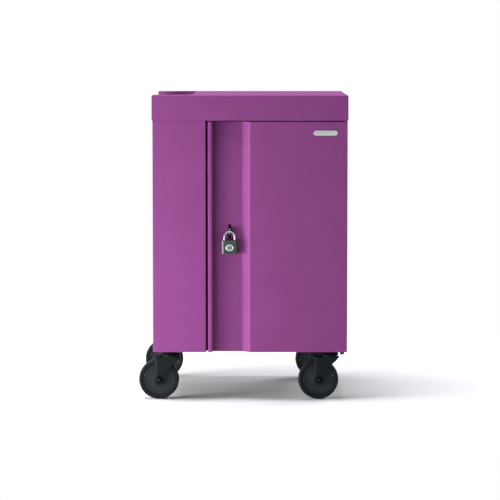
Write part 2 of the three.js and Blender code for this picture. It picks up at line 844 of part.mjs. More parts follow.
// Lock eye: a foot behind the grip channel and a pierced tongue through its slot
const eyeTip = gripFloor - eyeReach;
const footFace = doorBack + seat;
const tongue = roundedRect(eyeTip, footFace + sheet, -eyeHeight / 2, eyeHeight / 2, eyeHeight / 4);
const lockEye = new THREE.Group();
lockEye.position.set(lockX, 0, lockZ);
cart.add(lockEye);
piece(lockEye, 'lock_eye', cut(
  join(
    block(-eyeFoot / 2, eyeFoot / 2, footFace, footFace + sheet, -eyeFootHeight / 2, eyeFootHeight / 2),
    common(
      prismX(tongue, -eyePlate / 2, eyePlate / 2),
      block(-eyePlate, eyePlate, eyeTip, footFace + sheet / 2, -eyeHeight, eyeHeight),
    ),
  ),
  rodX(eyeHoleRadius, -eyePlate, eyePlate, turnedSides).translate(0, lockY, 0),
), blackSteel);

// Padlock: the shackle hangs in the eye, and the body hangs on the shackle
const rodZeroZ = -(eyeHoleRadius - shackleRod - seat);
const shackleHalf = shackleSpan / 2;
const bendZ = rodZeroZ - shackleHalf;
const padlockTop = rodZeroZ - shackleRise;
const padlockBottom = padlockTop - padlockHeight;
const longEnd = padlockTop - shackleLongLeg;
const shortEnd = padlockTop - shackleShortLeg;
const padlock = new THREE.Group();
padlock.position.set(lockX, lockY, lockZ);
cart.add(padlock);

class ShackleCurve extends THREE.Curve {
  constructor() {
    super();
    this.longLeg = bendZ - longEnd;
    this.arch = Math.PI * shackleHalf;
    this.shortLeg = bendZ - shortEnd;
  }

  getPoint(t) {
    const run = t * (this.longLeg + this.arch + this.shortLeg);
    if (run < this.longLeg) return new THREE.Vector3(-shackleHalf, 0, longEnd + run);
    const past = run - this.longLeg;
    if (past > this.arch) return new THREE.Vector3(shackleHalf, 0, bendZ - (past - this.arch));
    const angle = Math.PI - past / shackleHalf;
    return new THREE.Vector3(shackleHalf * Math.cos(angle), 0, bendZ + shackleHalf * Math.sin(angle));
  }
}

const shackleSection = new THREE.Shape().absarc(0, 0, shackleRod, 0, 2 * Math.PI);
piece(padlock, 'padlock_shackle', new THREE.ExtrudeGeometry(shackleSection, {
  steps: shackleSteps, extrudePath: new ShackleCurve(), curveSegments: shackleSides / 2,
}), zincSteel);

const halfWide = padlockWidth / 2;
const halfDeep = padlockDepth / 2;
const padlockOutline = new THREE.Shape(vectors([
  [-halfWide + padlockBevel, -halfDeep],
  [halfWide - padlockBevel, -halfDeep],
  [halfWide, -halfDeep + padlockBevel],
  [halfWide, halfDeep - padlockBevel],
  [halfWide - padlockBevel, halfDeep],
  [-halfWide + padlockBevel, halfDeep],
  [-halfWide, halfDeep - padlockBevel],
  [-halfWide, -halfDeep + padlockBevel],
]));
const padlockBlank = new THREE.ExtrudeGeometry(padlockOutline, {
  depth: padlockHeight - 2 * padlockEdge,
  bevelSize: padlockEdge,
  bevelThickness: padlockEdge,
  bevelOffset: -padlockEdge,
  bevelSegments: 1,
}).translate(0, 0, padlockBottom + padlockEdge);
const legHole = (x, depth) => rodZ(
  shackleRod + seat, padlockTop - depth, padlockTop + sheet,
).translate(x, 0, 0);
piece(padlock, 'padlock_body', cut(
  padlockBlank,
  legHole(-shackleHalf, shackleLongLeg + sheet),
  legHole(shackleHalf, shackleShortLeg + sheet),
  rodZ(plugRadius + seat, padlockBottom - sheet, padlockBottom + plugLength + seat),
), padlockSteel);
piece(padlock, 'padlock_plug', cut(
  rodZ(plugRadius, padlockBottom + seat, padlockBottom + plugLength),
  block(-keywayWidth / 2, keywayWidth / 2, -keywayHeight / 2, keywayHeight / 2,
    padlockBottom - sheet, padlockBottom + keywayDepth),
), zincSteel);

// Casters: stem with race cup, fork, axle, hub and tyre, all trailing to the left
const crownBottom = 2 * wheelRadius + crownClearance;
const crownTop = crownBottom + crownPlate;
const dishTop = crownTop + dishHeight;
const cupUnder = dishTop + seat;
const cupTop = baseZ - seat;
const kingpinFoot = crownBottom - seat - kingpinHead;
const nutFoot = floorTop + seat;
const forkInside = bossWidth / 2 + forkClearance;
const forkOutside = forkInside + forkPlate;
const flatFactor = 1 / Math.cos(Math.PI / wheelSides);
const flatTurn = Math.PI / wheelSides;

function casterStem() {
  return turnedZ([
    [0, kingpinFoot],
    [kingpinHeadRadius, kingpinFoot],
    [kingpinHeadRadius, crownBottom - seat],
    [kingpinRadius, crownBottom - seat],
    [kingpinRadius, cupUnder],
    [dishRadius + raceGap, cupUnder],
    [dishRadius + raceGap, cupUnder - cupSkirt],
    [cupRadius, cupUnder - cupSkirt],
    [cupRadius - sheet, cupTop],
    [kingpinRadius, cupTop],
    [kingpinRadius, nutFoot],
    [stemNutRadius, nutFoot],
    [stemNutRadius, nutFoot + stemNut],
    [0, nutFoot + stemNut],
  ], stemSides);
}

function casterFork() {
  const axleZ = wheelRadius;
  const side = new THREE.Shape();
  side.moveTo(-crownRear, crownTop);
  side.lineTo(-casterTrail - forkEnd, axleZ);
  side.absarc(-casterTrail, axleZ, forkEnd, Math.PI, 2 * Math.PI);
  side.quadraticCurveTo(
    crownBreak - casterTrail, axleZ + forkEnd, crownFront - crownBreak, crownTop - crownBreak,
  );
  side.lineTo(crownFront, crownTop - crownPlate / 2);
  side.lineTo(crownFront, crownTop);
  const plan = roundedRect(-crownRear, crownFront, -forkOutside, forkOutside, crownCorner);
  const yoke = cut(
    common(prismY(side, -forkOutside, forkOutside), prismZ(plan, 0, crownTop)),
    block(-2 * crownRear, 2 * crownRear, -forkInside, forkInside, 0, crownBottom),
    rodY(axleRadius + pivotClearance, -2 * forkOutside, 2 * forkOutside, turnedSides)
      .translate(-casterTrail, 0, axleZ),
  );
  const hole = rodZ(
    kingpinRadius + pivotClearance, crownBottom - crownPlate, dishTop + crownPlate, turnedSides,
  );
  return cut(join(yoke, rodZ(dishRadius, crownTop - crownPlate / 2, dishTop, turnedSides)), hole);
}

function casterAxle() {
  const headFoot = forkOutside + seat;
  const headTop = headFoot + axleHead;
  return turnedY([
    [0, -headTop],
    [axleHeadRadius - axleHead / 2, -headTop],
    [axleHeadRadius, -headTop + axleHead / 2],
    [axleHeadRadius, -headFoot],
    [axleRadius, -headFoot],
    [axleRadius, headFoot],
    [axleHeadRadius, headFoot],
    [axleHeadRadius, headTop - axleHead / 2],
    [axleHeadRadius - axleHead / 2, headTop],
    [0, headTop],
  ], axleSides);
}

function casterHub() {
  const outer = (rimRadius - seat) * flatFactor;
  const bore = axleRadius + pivotClearance;
  return turnedY([
    [bore, -bossWidth / 2],
    [bossRadius, -bossWidth / 2],
    [bossRadius, -webWidth / 2],
    [rimRadius - rimWall, -webWidth / 2],
    [rimRadius - rimWall, -rimWidth / 2],
    [outer, -rimWidth / 2],
    [outer, rimWidth / 2],
    [rimRadius - rimWall, rimWidth / 2],
    [rimRadius - rimWall, webWidth / 2],
    [bossRadius, webWidth / 2],
    [bossRadius, bossWidth / 2],
    [bore, bossWidth / 2],
    [bore, -bossWidth / 2],
  ], wheelSides).rotateY(flatTurn);
}

function casterTyre() {
  const inner = rimRadius * flatFactor;
  const tread = wheelRadius * flatFactor;
  const shoulder = tread - treadShoulder;
  return turnedY([
    [inner, -rimWidth / 2],
    [shoulder, -treadWidth / 2],
    [tread, -treadWidth / 2 + treadShoulder],
    [tread, treadWidth / 2 - treadShoulder],
    [shoulder, treadWidth / 2],
    [inner, rimWidth / 2],
    [inner, -rimWidth / 2],
  ], wheelSides).rotateY(flatTurn);
}

for (const [place, x, y] of casterPlaces) {
  const caster = new THREE.Group();
  caster.position.set(x, y, 0);
  cart.add(caster);
  piece(caster, `caster_${place}_stem`, casterStem(), casterSteel);
  piece(caster, `caster_${place}_fork`, casterFork(), casterSteel);
  const wheel = new THREE.Group();
  wheel.position.set(-casterTrail, 0, wheelRadius);
  caster.add(wheel);
  piece(wheel, `caster_${place}_axle`, casterAxle(), casterSteel);
  piece(wheel, `caster_${place}_hub`, casterHub(), hubPlastic);
  piece(wheel, `caster_${place}_tyre`, casterTyre(), tyreRubber);
}

// The origin lies on the floor under the middle of the whole, wheels included
const reachLeft = casterX + casterTrail + wheelRadius;
cart.position.x = (reachLeft - capRight) / 2;

export default cart;
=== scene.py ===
import json
import math

import bmesh
import bpy
from mathutils import Matrix, Vector


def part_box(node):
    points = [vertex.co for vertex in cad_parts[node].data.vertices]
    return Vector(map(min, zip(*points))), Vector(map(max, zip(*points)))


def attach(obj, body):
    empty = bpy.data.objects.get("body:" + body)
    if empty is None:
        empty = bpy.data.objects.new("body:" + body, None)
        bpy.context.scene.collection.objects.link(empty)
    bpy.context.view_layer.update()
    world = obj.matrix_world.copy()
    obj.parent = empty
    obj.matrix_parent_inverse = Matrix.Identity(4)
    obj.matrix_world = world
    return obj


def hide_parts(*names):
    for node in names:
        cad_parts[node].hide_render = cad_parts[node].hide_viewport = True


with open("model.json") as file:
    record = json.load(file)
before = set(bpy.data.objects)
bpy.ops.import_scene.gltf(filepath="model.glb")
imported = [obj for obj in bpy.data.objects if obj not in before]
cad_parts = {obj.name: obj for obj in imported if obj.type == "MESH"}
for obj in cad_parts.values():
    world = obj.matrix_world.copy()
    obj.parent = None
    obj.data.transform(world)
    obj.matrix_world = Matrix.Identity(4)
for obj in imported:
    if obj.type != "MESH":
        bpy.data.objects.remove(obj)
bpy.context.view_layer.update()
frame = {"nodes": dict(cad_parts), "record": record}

# Sizes of pieces are written in millimetres and turned to metres by MM; lights and camera are in metres
MM = 0.001
TO_FRONT = Vector((0, -1, 0))
TO_REAR = Vector((0, 1, 0))
DOWN = Vector((0, 0, -1))
CASTERS = ("front_left", "front_right", "rear_left", "rear_right")


# Places are read from the CAD nodes
def middle(node):
    low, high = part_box(node)
    return (low + high) / 2


# Colours are written as sRGB hex values and turned to linear here
def linear(hex_value):
    channels = [int(hex_value[i:i + 2], 16) / 255 for i in (1, 3, 5)]
    bent = [c / 12.92 if c <= 0.04045 else ((c + 0.055) / 1.055) ** 2.4 for c in channels]
    return (*bent, 1.0)


# Adds a node with its settings, its constants and its links
def add(tree, kind, inputs=None, **settings):
    made = tree.nodes.new("ShaderNode" + kind)
    for key, value in settings.items():
        setattr(made, key, value)
    for key, value in (inputs or {}).items():
        if isinstance(value, bpy.types.NodeSocket):
            tree.links.new(value, made.inputs[key])
        else:
            made.inputs[key].default_value = value
    return made


# A pattern's scale: repeats per metre for one feature of so many millimetres
def per_metre(feature_mm):
    return 1 / (feature_mm * MM)


def new_material(name):
    material = bpy.data.materials.new(name)
    material.use_nodes = True
    material.node_tree.nodes.clear()
    return material, material.node_tree


NOISE_LOW = 0.3
NOISE_HIGH = 0.7
# Millimetres over which a painted highlight fades out
HIGHLIGHT_FADE = 1


# A finish with two close tones in soft patches, an uneven gloss and a fine relief. A grain that is finer
# than about a millimetre on the real piece is drawn as coarse as it needs to show from where the cart is
# seen. A stretch below 1 draws the pattern out along that axis. A painted highlight gives the tone of pale
# metal painted in as a highlight, and the place along y up to which it is painted over the finish.
def surface(name, dark, light, patch_mm, grain_mm, relief_mm, gloss, stretch=(1, 1, 1), painted_highlight=None,
            **constants):
    material, tree = new_material(name)
    place = add(tree, "TexCoord").outputs["Object"]
    along = add(tree, "Mapping", {"Vector": place, "Scale": stretch}).outputs["Vector"]
    patches = add(tree, "TexNoise", {"Vector": along, "Scale": per_metre(patch_mm), "Detail": 3.0})
    grain = add(tree, "TexNoise", {"Vector": along, "Scale": per_metre(grain_mm), "Detail": 2.0})
    tone = add(tree, "MapRange", {"Value": patches.outputs["Fac"], "From Min": NOISE_LOW,
                                  "From Max": NOISE_HIGH})
    colour = add(tree, "Mix", {"Factor": tone.outputs["Result"], "A": linear(dark), "B": linear(light)},
                 data_type="RGBA")
    rough = add(tree, "MapRange", {"Value": grain.outputs["Fac"], "From Min": NOISE_LOW,
                                   "From Max": NOISE_HIGH, "To Min": gloss[0], "To Max": gloss[1]})
    bump = add(tree, "Bump", {"Height": grain.outputs["Fac"], "Strength": 1.0, "Distance": relief_mm * MM})
    # Painted highlight: pale metal painted in front of a depth along y, fading over a millimetre, metallic
    # there
    if painted_highlight:
        highlight_tone, edge = painted_highlight
        depth = add(tree, "SeparateXYZ", {"Vector": place}).outputs["Y"]
        highlight_mask = add(tree, "MapRange", {"Value": depth, "From Min": edge - HIGHLIGHT_FADE * MM, "From Max": edge,
                                      "To Min": 1.0, "To Max": 0.0})
        colour = add(tree, "Mix", {"Factor": highlight_mask.outputs["Result"], "A": colour.outputs["Result"],
                                   "B": linear(highlight_tone)}, data_type="RGBA")
        constants["Metallic"] = highlight_mask.outputs["Result"]
    shader = add(tree, "BsdfPrincipled", {
        "Base Color": colour.outputs["Result"], "Roughness": rough.outputs["Result"],
        "Normal": bump.outputs["Normal"], **constants})
    add(tree, "OutputMaterial", {"Surface": shader.outputs["BSDF"]})
    return material


# Polyester powder coat, sprayed and baked: satin, with a fine orange peel that breaks up highlights.
# The peel is about 1 mm wide and is drawn at 3 mm, so that it shows from where the cart is seen.
powder_coat = surface(
    "powder_coat", "#944c8e", "#985092", patch_mm=90, grain_mm=3, relief_mm=0.04, gloss=(0.66, 0.76),
    **{"Specular IOR Level": 0.06})

# Zinc plated steel: a pale blue-grey metal whose crystals leave small dull and bright patches.
zinc_steel = surface(
    "zinc_plated_steel", "#a9adb2", "#c3c6c9", patch_mm=12, grain_mm=2, relief_mm=0.01, gloss=(0.26, 0.4),
    Metallic=1.0)

# Chromed hard steel of the shackle: bright and smooth, with faint rubbed patches.
chrome_steel = surface(
    "chromed_steel", "#8f9593", "#a0a6a4", patch_mm=8, grain_mm=1.5, relief_mm=0.004, gloss=(0.3, 0.4),
    Metallic=1.0)

# Brushed steel of the padlock's case: grey, with fine level brush lines.
brushed_steel = surface(
    "brushed_steel", "#434947", "#515755", patch_mm=14, grain_mm=1.2, relief_mm=0.02, gloss=(0.3, 0.4),
    stretch=(0.08, 0.08, 1), Metallic=1.0)

# Clear anodised aluminium of the door's plate: pale, with fine level brush lines.
anodised_aluminium = surface(
    "anodised_aluminium", "#b2bcb8", "#c1c9c5", patch_mm=20, grain_mm=1.5, relief_mm=0.01, gloss=(0.3, 0.4),
    stretch=(0.06, 1, 1), Metallic=0.85)

# Buffed nickel of the disc's rim: bright, with soft highlights.
buffed_nickel = surface(
    "buffed_nickel", "#d0d6d4", "#dde1df", patch_mm=6, grain_mm=1.2, relief_mm=0.005, gloss=(0.38, 0.48),
    Metallic=1.0)

# Satin nickel of the disc's face: mid grey, with a fine even grain.
satin_nickel = surface(
    "satin_nickel", "#747a78", "#828886", patch_mm=6, grain_mm=1.2, relief_mm=0.01, gloss=(0.34, 0.46),
    Metallic=0.9)

# Black polyester powder coat of the base pan: near black, satin, with the same fine peel.
black_powder_coat = surface(
    "black_powder_coat", "#141516", "#1a1b1d", patch_mm=90, grain_mm=3, relief_mm=0.04, gloss=(0.6, 0.72),
    **{"Specular IOR Level": 0.2})

# Black zinc on the pivot bars and the axle ends: near black, with a dull sheen.
black_steel = surface(
    "black_zinc_steel", "#181a1c", "#212427", patch_mm=10, grain_mm=2, relief_mm=0.02, gloss=(0.38, 0.5),
    Metallic=0.4)

# Black oxide on the lock eye: dull, and almost black, which also paints the shade of the door's slot round
# it; pale steel painted along the front of its tongue is a painted highlight.
HIGHLIGHT_DEPTH = 2
eye_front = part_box("lock_eye")[0].y
eye_oxide_and_painted_light = surface(
    "black_oxide_with_painted_shade_and_highlight", "#060607", "#0a0a0b", patch_mm=10, grain_mm=2, relief_mm=0.02, gloss=(0.5, 0.62),
    painted_highlight=("#8e9694", eye_front + HIGHLIGHT_DEPTH * MM), **{"Specular IOR Level": 0.05})

# Dip coated pressed steel of the casters: black, half dull, a little uneven.
caster_steel = surface(
    "dip_coated_steel", "#171b1d", "#1d2224", patch_mm=15, grain_mm=2.5, relief_mm=0.03, gloss=(0.5, 0.62),
    **{"Specular IOR Level": 0.08})

# Phosphated steel of the caster races, axle nuts and pivot bolts: oiled, almost black, with little sheen.
# Its near black is partly painted shade: it darkens the races in the shadow under the body.
phosphated_steel_and_shade = surface(
    "phosphated_steel_and_shade", "#070808", "#0b0c0d", patch_mm=10, grain_mm=2, relief_mm=0.03, gloss=(0.6, 0.75),
    **{"Specular IOR Level": 0.04})

# Moulded rubber tread: charcoal, dull, with fine mould grain.
tyre_rubber = surface(
    "moulded_rubber", "#1b1f22", "#212528", patch_mm=18, grain_mm=1.5, relief_mm=0.03, gloss=(0.5, 0.62),
    **{"Specular IOR Level": 0.1})

# Glass filled nylon of the wheel centres: charcoal, half dull, clouded by its pale fibres.
hub_nylon = surface(
    "glass_filled_nylon", "#22272b", "#293034", patch_mm=6, grain_mm=1.5, relief_mm=0.02, gloss=(0.5, 0.64),
    **{"Specular IOR Level": 0.22})

# Moulded ABS of the electrical pieces: near black, with a spark-eroded dull grain.
black_abs = surface(
    "black_abs", "#232527", "#2a2c2f", patch_mm=20, grain_mm=1.5, relief_mm=0.03, gloss=(0.5, 0.62))

# Grey ABS of the outlet faces: mid grey, with the same dull grain.
grey_abs = surface(
    "grey_abs", "#4a4d50", "#54575a", patch_mm=20, grain_mm=1.5, relief_mm=0.03, gloss=(0.45, 0.58))

# Nickel plated brass of the inlet's blades: pale and smooth.
nickel_brass = surface(
    "nickel_plated_brass", "#b9b4a6", "#c8c3b6", patch_mm=6, grain_mm=1.5, relief_mm=0.005,
    gloss=(0.18, 0.28), Metallic=1.0)

# Extruded polystyrene sheet of the dividers: off-white, smooth and faintly streaked along the sheet.
divider_sheet = surface(
    "white_polystyrene", "#d3d3cf", "#dcdcd8", patch_mm=40, grain_mm=4, relief_mm=0.02, gloss=(0.42, 0.55),
    stretch=(1, 0.2, 1))

# Soft PVC of the lead: black with a low shine.
pvc_lead = surface(
    "black_pvc", "#1b1c1e", "#232426", patch_mm=15, grain_mm=2, relief_mm=0.02, gloss=(0.38, 0.5))

slot_materials = {
    "powder_coat": powder_coat, "zinc_steel": zinc_steel, "black_steel": black_steel,
    "caster_steel": caster_steel, "tyre_rubber": tyre_rubber, "hub_plastic": hub_nylon,
    "padlock_steel": brushed_steel, "dark_plastic": black_abs, "divider_plastic": divider_sheet,
}


def paint(obj, material):
    obj.data.materials.clear()
    obj.data.materials.append(material)


def smooth(obj):
    obj.data.polygons.foreach_set("use_smooth", [True] * len(obj.data.polygons))


EDGE_ROUND = 0.5
EDGE_TURN = 40
WELD_REACH = 0.01


# Rounds the edges of a solid a little, so that they catch the light, and smooths its round faces
def soften(obj):
    smooth(obj)
    weld = obj.modifiers.new("weld", "WELD")
    weld.merge_threshold = WELD_REACH * MM
    bevel = obj.modifiers.new("edges", "BEVEL")
    bevel.width = EDGE_ROUND * MM
    bevel.segments = 2
    bevel.limit_method = "ANGLE"
    bevel.angle_limit = math.radians(EDGE_TURN)
    bevel.use_clamp_overlap = True
    obj.modifiers.new("normals", "WEIGHTED_NORMAL").keep_sharp = False


node_slots = {part["node"]: part["material_slot"] for part in frame["record"]["subparts"]}
for name, obj in frame["nodes"].items():
    paint(obj, slot_materials[node_slots[name]])
    soften(obj)
paint(frame["nodes"]["base_pan"], black_powder_coat)
# The lock eye is almost black as painted shade of the slot, with a painted highlight along its tongue
paint(frame["nodes"]["lock_eye"], eye_oxide_and_painted_light)
# The caster races take the near black steel, which is partly painted shade under the body
for caster in CASTERS:
    paint(frame["nodes"][f"caster_{caster}_stem"], phosphated_steel_and_shade)


def new_piece(name, mesh, material, body):
    obj = bpy.data.objects.new(name, mesh)
    bpy.context.collection.objects.link(obj)
    paint(obj, material)
    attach(obj, body)
    return obj


SAME_POINT = 0.001


# Rows of points, each row a closed ring, become one skin; a row of one point closes an end
def skin(name, rows):
    mesh = bmesh.new()
    rings = [[mesh.verts.new(point) for point in row] for row in rows]
    for low, high in zip(rings, rings[1:]):
        count = max(len(low), len(high))
        for i in range(count):
            j = (i + 1) % count
            corners = [low[i % len(low)], low[j % len(low)], high[j % len(high)], high[i % len(high)]]
            mesh.faces.new(list(dict.fromkeys(corners)))
    bmesh.ops.remove_doubles(mesh, verts=mesh.verts, dist=SAME_POINT * MM)
    bmesh.ops.recalc_face_normals(mesh, faces=mesh.faces)
    data = bpy.data.meshes.new(name)
    mesh.to_mesh(data)
    mesh.free()
    return data


# A profile of radius and height, turned round an axis through a place. A row of the profile is a circle, or
# follows the outline where it has a third value.
def turned(profile, place, axis, steps=64, outline=lambda angle: 1.0):
    turn = Vector((0, 0, 1)).rotation_difference(axis).to_matrix().to_4x4()
    matrix = Matrix.Translation(place) @ turn
    rows = []
    for radius, height, *shaped in profile:
        if radius == 0:
            rows.append([matrix @ Vector((0, 0, height * MM))])
            continue
        row = []
        for i in range(steps):
            angle = 2 * math.pi * i / steps
            reach = radius * (outline(angle) if shaped else 1.0) * MM
            row.append(matrix @ Vector((reach * math.cos(angle), reach * math.sin(angle), height * MM)))
        rows.append(row)
    return rows


# The distance to the side of a six-sided outline whose flats lie at 1
def hexagon(angle):
    sixth = math.pi / 3
    return 1 / math.cos((angle + sixth / 2) % sixth - sixth / 2)


# Edges that turn by more degrees than these stay sharp: on wheels and bolts, on trim, and on boots
BOLT_EDGE = 35
TRIM_EDGE = 40
BOOT_EDGE = 50


def shade_by_angle(obj, degrees):
    smooth(obj)
    obj.data.set_sharp_from_angle(angle=math.radians(degrees))


def joined(name, parts):
    mesh = bmesh.new()
    for part in parts:
        mesh.from_mesh(part)
        bpy.data.meshes.remove(part)
    data = bpy.data.meshes.new(name)
    mesh.to_mesh(data)
    mesh.free()
    return data


# A wheel's profile from one side of it: that side, the same on the other side, and back to the start
def both_sides(side):
    other = [(radius, -height) for radius, height in side]
    return other + side[::-1] + other[:1]


# Wheels: a crowned tread with a groove on each side, and a flat centre with moulded rings
TYRE = both_sides([
    (48, 13), (51, 14), (51.8, 12.9), (53.4, 13.3), (54.2, 14.8), (58, 15.6), (60.2, 15), (62.4, 12.6),
    (63.3, 9), (63.5, 4)])
HUB = both_sides([
    (6.3, 18), (15.6, 18), (16.3, 17.4), (16.6, 13.6), (18.8, 13.6), (19, 15.4), (19.5, 15.8), (20.2, 15.2),
    (20.6, 12.4), (21.6, 11.2), (28.4, 11), (29.4, 12), (30.8, 12), (31.8, 11), (37.6, 11), (38.8, 12.6),
    (40.6, 12.6), (41.8, 11), (44, 11), (45.2, 12.6), (46.6, 13), (47.7, 12.4)])

# Axle: a shaft through the fork, and at each end a washer, a hexagon nut and the tip of the thread
NUT = [(0, 4.6, 1), (7.4, 4.6, 1), (8.4, 3.6, 1), (8.4, 1.3, 1), (10, 1.3), (10, 0.3), (0, 0.3)]
TIP = [(0, 6.2), (3.2, 6.2), (4, 5.5), (4, 4.3), (0, 4.3)]
SHAFT_RADIUS = 6
SHAFT_BEYOND_FORK = 0.3

for caster in CASTERS:
    hub_middle = middle(f"caster_{caster}_hub")
    half_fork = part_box(f"caster_{caster}_fork")[1].y - hub_middle.y
    tyre = new_piece(f"tread_{caster}", skin("tread", turned(TYRE, hub_middle, TO_REAR)),
                     tyre_rubber, f"wheel_{caster}")
    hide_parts(f"caster_{caster}_tyre")
    hub = new_piece(f"wheel_centre_{caster}", skin("wheel_centre", turned(HUB, hub_middle, TO_REAR)),
                    hub_nylon, f"wheel_{caster}")
    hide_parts(f"caster_{caster}_hub")
    ends = []
    tips = []
    for outward in (TO_FRONT, TO_REAR):
        face = hub_middle + half_fork * outward
        ends.append(skin("axle_end", turned(NUT, face, outward, steps=48, outline=hexagon)))
        tips.append(skin("axle_tip", turned(TIP, face, outward, steps=32)))
    half_shaft = half_fork / MM + SHAFT_BEYOND_FORK
    shaft = [(0, -half_shaft), (SHAFT_RADIUS, -half_shaft), (SHAFT_RADIUS, half_shaft), (0, half_shaft)]
    ends.append(skin("axle_shaft", turned(shaft, hub_middle, TO_REAR, steps=32)))
    axle = new_piece(f"axle_bolt_{caster}", joined("axle_bolt", ends), phosphated_steel_and_shade, f"swivel_{caster}")
    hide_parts(f"caster_{caster}_axle")
    tip = new_piece(f"axle_tips_{caster}", joined("axle_tips", tips), black_steel, f"swivel_{caster}")
    for obj in (tyre, hub, axle, tip):
        shade_by_angle(obj, BOLT_EDGE)


# A bar with round ends: the points of its outline, round its middle
def stadium(width, height, steps=12):
    radius = height / 2
    reach = width / 2 - radius
    points = []
    for side, start in ((1, -math.pi / 2), (-1, math.pi / 2)):
        for i in range(steps + 1):
            angle = start + math.pi * i / steps
            points.append((side * reach + radius * math.cos(angle), radius * math.sin(angle)))
    return points


# A flat plate on a face that looks to the front: its outline, then steps of inset and height
def front_plate(outline, place, steps):
    rows = []
    for inset, height in steps:
        row = []
        for x, z in outline:
            reach = math.hypot(x, z)
            row.append(place + Vector((x * (1 - inset / reach), -height, z * (1 - inset / reach))) * MM)
        rows.append(row)
    rows.append([place + Vector((0, -steps[-1][1], 0)) * MM])
    return rows


# Bare plate near the top right corner of the door
PLATE_FROM_RIGHT = 69
PLATE_BELOW_TOP = 35.4
PLATE_WIDTH = 75
PLATE_HEIGHT = 15.8
PLATE_STEPS = [(0, -0.3), (0, 0.8), (0.5, 1.2), (1.4, 1.2), (1.9, 1.0)]
door_low, door_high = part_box("front_door")
plate_place = Vector((door_high.x - PLATE_FROM_RIGHT * MM, door_low.y, door_high.z - PLATE_BELOW_TOP * MM))
plate_rows = front_plate(stadium(PLATE_WIDTH, PLATE_HEIGHT), plate_place, PLATE_STEPS)
plate = new_piece("door_plate", skin("door_plate", plate_rows), anodised_aluminium, "door")
shade_by_angle(plate, TRIM_EDGE)

# Bare oval disc on the padlock's face: a bright rim round a duller face
DISC_DROP = 1.3
DISC_TALLNESS = 0.83
RIM = [(12, -0.3), (12, 0.7), (11.5, 1.1), (9.8, 1.1), (9.3, 0.6), (9.3, -0.3), (12, -0.3)]
FACE = [(9.2, -0.3), (9.2, 0.35), (8.9, 0.5), (4, 0.62), (0, 0.65)]


# The distance to the edge of an oval whose half width is 1
def oval(angle):
    return 1 / math.hypot(math.cos(angle), math.sin(angle) / DISC_TALLNESS)


case_low, case_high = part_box("padlock_body")
case_middle = middle("padlock_body")
disc_place = Vector((case_middle.x, case_low.y, case_middle.z - DISC_DROP * MM))
for name, profile, finish in (("rim", RIM, buffed_nickel), ("face", FACE, satin_nickel)):
    shaped = [(radius, height, 1) for radius, height in profile]
    mesh = skin(f"padlock_disc_{name}", turned(shaped, disc_place, TO_FRONT, outline=oval))
    disc = new_piece(f"padlock_disc_{name}", mesh, finish, "padlock_case")
    shade_by_angle(disc, TRIM_EDGE)


# A round rod along a path of points, with a radius at each point
def swept(points, radii, steps=20):
    side = (points[1] - points[0]).orthogonal()
    turns = [2 * math.pi * i / steps for i in range(steps)]
    rows = [points[:1]]
    for i, point in enumerate(points):
        along = (points[min(i + 1, len(points) - 1)] - points[max(i - 1, 0)]).normalized()
        side = (side - along * side.dot(along)).normalized()
        up = along.cross(side)
        rows.append([point + (side * math.cos(a) + up * math.sin(a)) * radii[i] * MM for a in turns])
    rows.append(points[-1:])
    return rows


# Shackle: a round rod bent over the lock eye, with narrowed ends
ROD = 3.3
ROD_END = 1
SHORT_LEG = 10
BEND_STEPS = 24
shackle_low, shackle_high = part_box("padlock_shackle")
shackle_middle = middle("padlock_shackle")
half_span = (shackle_high.x - shackle_low.x) / 2 - ROD * MM
bend_z = shackle_high.z - ROD * MM - half_span
short_end = case_high.z - SHORT_LEG * MM
path = [(-half_span, shackle_low.z), (-half_span, shackle_low.z + ROD_END * MM), (-half_span, bend_z)]
for i in range(1, BEND_STEPS):
    angle = math.pi * i / BEND_STEPS
    path.append((-half_span * math.cos(angle), bend_z + half_span * math.sin(angle)))
path += [(half_span, bend_z), (half_span, short_end + ROD_END * MM), (half_span, short_end)]
rod_points = [Vector((shackle_middle.x + x, shackle_middle.y, z)) for x, z in path]
rod_radii = [ROD - ROD_END] + [ROD] * (len(path) - 2) + [ROD - ROD_END]
shackle = new_piece("shackle_rod", skin("shackle_rod", swept(rod_points, rod_radii)), chrome_steel,
                    "padlock_loop")
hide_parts("padlock_shackle")
shade_by_angle(shackle, TRIM_EDGE)

# Button-head screws up the rear panel, on the narrow strip beside its door and along the other edge.
# Rows of fasteners are shares of the height of the sheet that they hold.
SCREW = [(3.5, -0.2), (3.5, 0.5), (2.9, 1.2), (2.1, 1.5), (1.25, 1.5, 1), (1.25, 0.6, 1), (0, 0.6)]
SCREW_ROWS = (0.02, 0.26, 0.5, 0.74, 0.98)
STRIP_INSET = 4
EDGE_INSET = 12
panel_low, panel_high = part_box("rear_panel")
heads = []
for share in SCREW_ROWS:
    z = panel_low.z + share * (panel_high.z - panel_low.z)
    for x in (panel_low.x + STRIP_INSET * MM, panel_high.x - EDGE_INSET * MM):
        screw_place = Vector((x, panel_high.y, z))
        heads.append(skin("screw", turned(SCREW, screw_place, TO_REAR, steps=24, outline=hexagon)))
screws = new_piece("rear_panel_screws", joined("rear_panel_screws", heads), zinc_steel, "cart")
shade_by_angle(screws, TRIM_EDGE)

